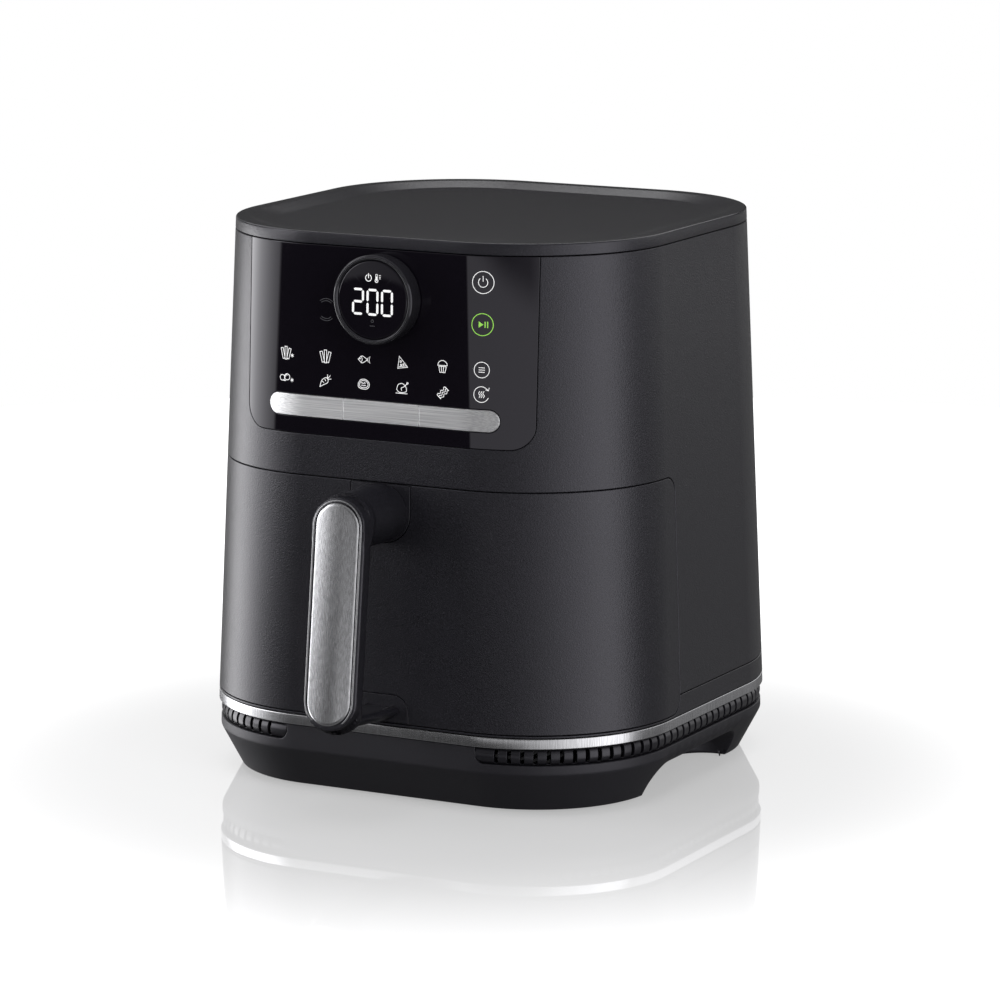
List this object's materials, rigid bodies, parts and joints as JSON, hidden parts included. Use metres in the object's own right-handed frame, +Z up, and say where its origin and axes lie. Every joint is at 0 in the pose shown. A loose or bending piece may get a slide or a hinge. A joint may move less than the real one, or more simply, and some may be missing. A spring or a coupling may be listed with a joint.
{
  "type": "air fryer",
  "caption": "Rounded countertop air fryer with a pull-out drawer and grip, a glossy panel with a display dial and key bar, a metal band and a vented base.",
  "frame": {"origin": "centre of the bounding box in plan, on the surface that the feet stand on", "axes": "+Z up, -Y out of the front along the drawer's travel, +X to the right seen from the front"},
  "size_m": [0.2776, 0.3326, 0.316],
  "materials": {
    "anthracite": "satin metallic anthracite",
    "brushed_metal": "brushed",
    "dark_plastic": "fine matte",
    "rubber": "matte",
    "steel": "plain",
    "heater": "heat-darkened",
    "gloss_black": "high gloss",
    "dial_metal": "satin dark",
    "circuit_board": "solder mask",
    "sheet": "galvanised",
    "pale_plastic": "plain",
    "nonstick": "dark non-stick coat"
  },
  "bodies": {
    "housing": {"top_cover": "anthracite", "upper_housing": "anthracite", "lower_housing": "anthracite", "metal_band": "brushed_metal", "base_skirt": "dark_plastic", "bottom_plate": "dark_plastic", "grille_left": "dark_plastic", "grille_right": "dark_plastic", "rubber_feet": "rubber", "base_screws": "steel", "control_panel": "gloss_black", "bar_centre": "brushed_metal", "key_switches": "dark_plastic", "dial_core": "dark_plastic", "dial_lens": "gloss_black", "control_board": "circuit_board", "cooking_chamber": "sheet", "runner_left": "sheet", "runner_right": "sheet", "heater_coil": "heater", "heater_guard": "steel", "fan_shroud": "sheet", "motor_bracket": "sheet", "motor": "steel", "power_board": "circuit_board", "outlet_duct": "sheet", "outlet_grille": "dark_plastic", "cord_gland": "dark_plastic", "door_switch": "dark_plastic"},
    "drawer": {"drawer_front": "anthracite", "drawer_inner": "dark_plastic", "handle": "anthracite", "handle_inlay": "brushed_metal", "handle_screws": "steel", "pan": "nonstick"},
    "crisper": {"crisper_plate": "nonstick", "plate_bumpers": "rubber"},
    "dial": {"dial_ring": "dial_metal"},
    "left_key": {"key_left": "brushed_metal"},
    "right_key": {"key_right": "brushed_metal"},
    "rotor": {"motor_shaft": "steel", "hot_air_fan": "sheet", "cooling_fan": "pale_plastic", "fan_nut": "steel"}
  },
  "joints": [
    {"name": "drawer_slide", "type": "slide", "parent": "housing", "child": "drawer", "axis": [0, -1, 0], "range_m": [0, 0.22]},
    {"name": "crisper_lift", "type": "slide", "parent": "drawer", "child": "crisper", "axis": [0, 0, 1], "range_m": [0, 0.07]},
    {"name": "dial_turn", "type": "hinge", "parent": "housing", "child": "dial", "pos_m": [0, -0.10102, 0.2823], "axis": [0, -0.9996, 0.0285], "continuous": true},
    {"name": "left_key_press", "type": "slide", "parent": "housing", "child": "left_key", "axis": [0, 1, 0], "range_m": [0, 0.0008], "stiffness_N_per_m": 500, "springref_m": -0.001},
    {"name": "right_key_press", "type": "slide", "parent": "housing", "child": "right_key", "axis": [0, 1, 0], "range_m": [0, 0.0008], "stiffness_N_per_m": 500, "springref_m": -0.001},
    {"name": "fan_spin", "type": "hinge", "parent": "housing", "child": "rotor", "pos_m": [0, 0.03454, 0.26], "axis": [0, 0, 1], "continuous": true}
  ]
}
